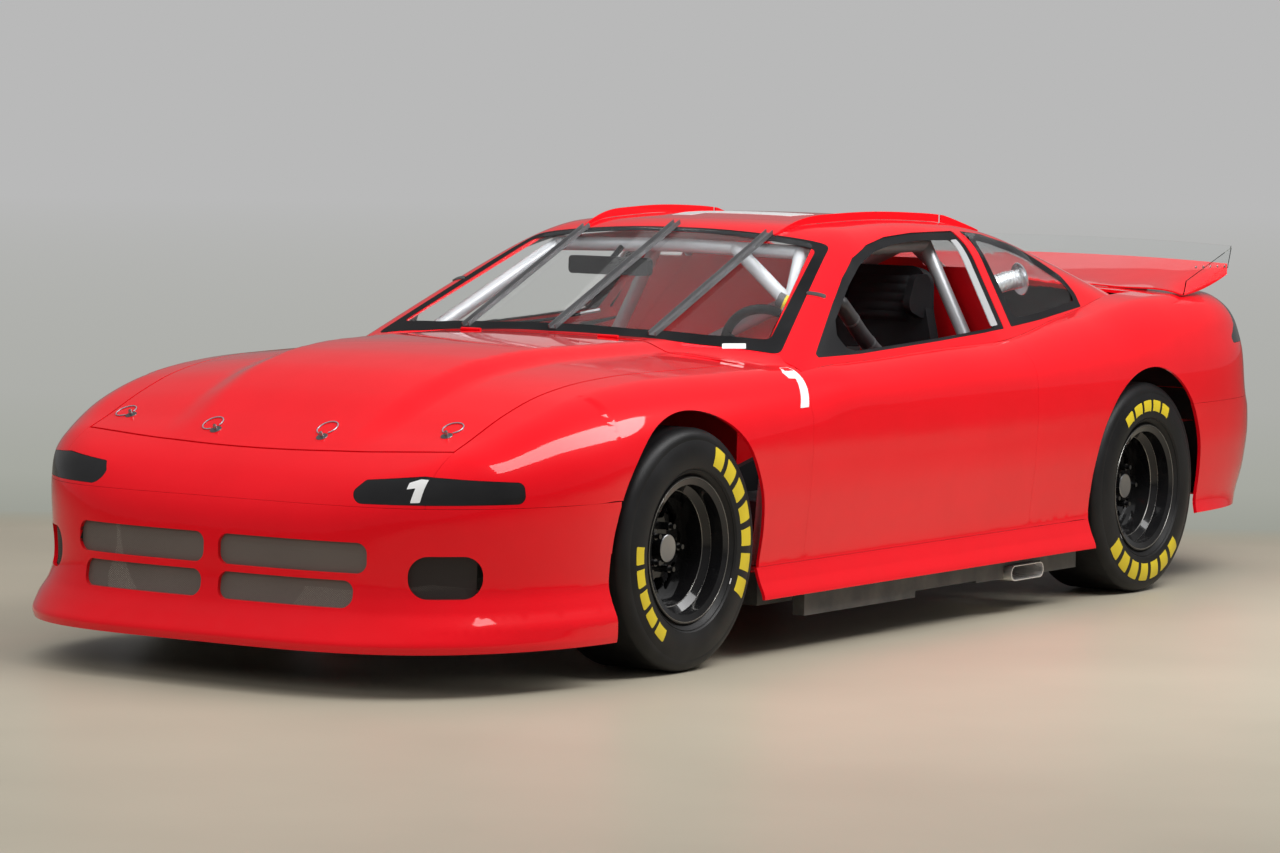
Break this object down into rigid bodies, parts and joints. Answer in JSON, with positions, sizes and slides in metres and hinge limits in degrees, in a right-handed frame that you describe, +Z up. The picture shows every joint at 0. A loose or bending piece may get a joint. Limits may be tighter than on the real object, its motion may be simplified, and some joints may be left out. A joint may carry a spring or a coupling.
{
  "type": "stock car",
  "caption": "Closed-wheel racing stock car with coupe body, hollow cabin, roll cage, deep-dish wheels, slick tyres and a raised rear spoiler.",
  "frame": {"origin": "on the floor, midway between the nose and the tail, on the centre plane", "axes": "+Z up, -Y towards the front of the car, +X towards the driver's side"},
  "size_m": [1.86, 4.982, 1.2506],
  "materials": {
    "black_trim": "matt black",
    "cage": "silver paint",
    "clear_glass": "clear polycarbonate",
    "column": "bare steel",
    "dark_cover": "gloss dark smoke",
    "driveline": "painted iron",
    "engine": "cast iron",
    "exhaust": "polished steel",
    "grey_frame": "dark grey paint",
    "mesh": "woven wire",
    "red_body": "gloss red paint",
    "red_sheet": "red paint on sheet metal",
    "tank": "black steel can",
    "tyre": "smooth rubber",
    "wheel_black": "gloss black"
  },
  "bodies": {
    "chassis": {"backlight": "clear_glass", "backlight_panel": "red_body", "cowl": "red_body", "dashboard": "black_trim", "door_left": "red_body", "door_right": "red_body", "driveline": "driveline", "engine_block": "engine", "exhaust_pipes": "exhaust", "fender_left": "red_body", "fender_right": "red_body", "floor_pan": "red_sheet", "frame_rails": "grey_frame", "front_arms": "grey_frame", "front_bumper": "red_body", "fuel_cell": "tank", "grille_mesh": "mesh", "header_panel": "red_body", "headlamp_covers": "dark_cover", "interior_panels": "red_sheet", "mirror": "black_trim", "quarter_left": "red_body", "quarter_right": "red_body", "quarter_windows": "clear_glass", "rear_axle": "driveline", "rear_bumper": "red_body", "roll_cage": "cage", "roof_shell": "red_body", "roof_strips": "red_body", "seat": "black_trim", "side_rails": "grey_frame", "side_skirts": "red_body", "steering_column": "column", "steering_rack": "grey_frame", "tail_lamps": "dark_cover", "tail_panel": "red_body", "trailing_arms": "grey_frame", "windshield": "clear_glass", "windshield_straps": "grey_frame"},
    "hood": {"hood": "red_body"},
    "deck_lid": {"deck_lid": "red_body", "spoiler": "red_body", "spoiler_blade": "clear_glass"},
    "knuckle_left": {"knuckle_left": "driveline"},
    "knuckle_right": {"knuckle_right": "driveline"},
    "wheel_front_left": {"rim_front_left": "wheel_black", "tyre_front_left": "tyre"},
    "wheel_front_right": {"rim_front_right": "wheel_black", "tyre_front_right": "tyre"},
    "wheel_rear_left": {"rim_rear_left": "wheel_black", "tyre_rear_left": "tyre"},
    "wheel_rear_right": {"rim_rear_right": "wheel_black", "tyre_rear_right": "tyre"},
    "steering_wheel": {"steering_wheel": "black_trim"},
    "steering_link": {"steering_link": "column"}
  },
  "joints": [
    {"name": "hood_hinge", "type": "hinge", "parent": "chassis", "child": "hood", "pos_m": [0, -0.847, 0.89747], "axis": [-1, 0, 0], "range_deg": [0, 50]},
    {"name": "deck_hinge", "type": "hinge", "parent": "chassis", "child": "deck_lid", "pos_m": [0, 1.775, 0.98411], "axis": [1, 0, 0], "range_deg": [0, 55]},
    {"name": "steer_left", "type": "hinge", "parent": "chassis", "child": "knuckle_left", "pos_m": [0.69, -1.382, 0.345], "axis": [0, 0, 1], "range_deg": [-20, 20]},
    {"name": "steer_right", "type": "hinge", "parent": "chassis", "child": "knuckle_right", "pos_m": [-0.69, -1.382, 0.345], "axis": [0, 0, 1], "range_deg": [-20, 20]},
    {"name": "link_slide", "type": "slide", "parent": "chassis", "child": "steering_link", "axis": [1, 0, 0], "range_m": [-0.056, 0.056]},
    {"name": "steering_wheel_turn", "type": "hinge", "parent": "chassis", "child": "steering_wheel", "pos_m": [0.4, -0.167, 0.8], "axis": [0, 0.9397, 0.342], "range_deg": [-245, 245]},
    {"name": "spin_front_left", "type": "hinge", "parent": "knuckle_left", "child": "wheel_front_left", "pos_m": [0.768, -1.382, 0.345], "axis": [1, 0, 0], "continuous": true},
    {"name": "spin_front_right", "type": "hinge", "parent": "knuckle_right", "child": "wheel_front_right", "pos_m": [-0.768, -1.382, 0.345], "axis": [1, 0, 0], "continuous": true},
    {"name": "spin_rear_left", "type": "hinge", "parent": "chassis", "child": "wheel_rear_left", "pos_m": [0.768, 1.361, 0.345], "axis": [1, 0, 0], "continuous": true},
    {"name": "spin_rear_right", "type": "hinge", "parent": "chassis", "child": "wheel_rear_right", "pos_m": [-0.768, 1.361, 0.345], "axis": [1, 0, 0], "continuous": true}
  ],
  "couplings": [
    {"joint": "steer_right", "follows": "steer_left", "ratio": 1},
    {"joint": "link_slide", "follows": "steer_left", "m_per_rad": -0.15},
    {"joint": "steering_wheel_turn", "follows": "steer_left", "ratio": 12}
  ]
}
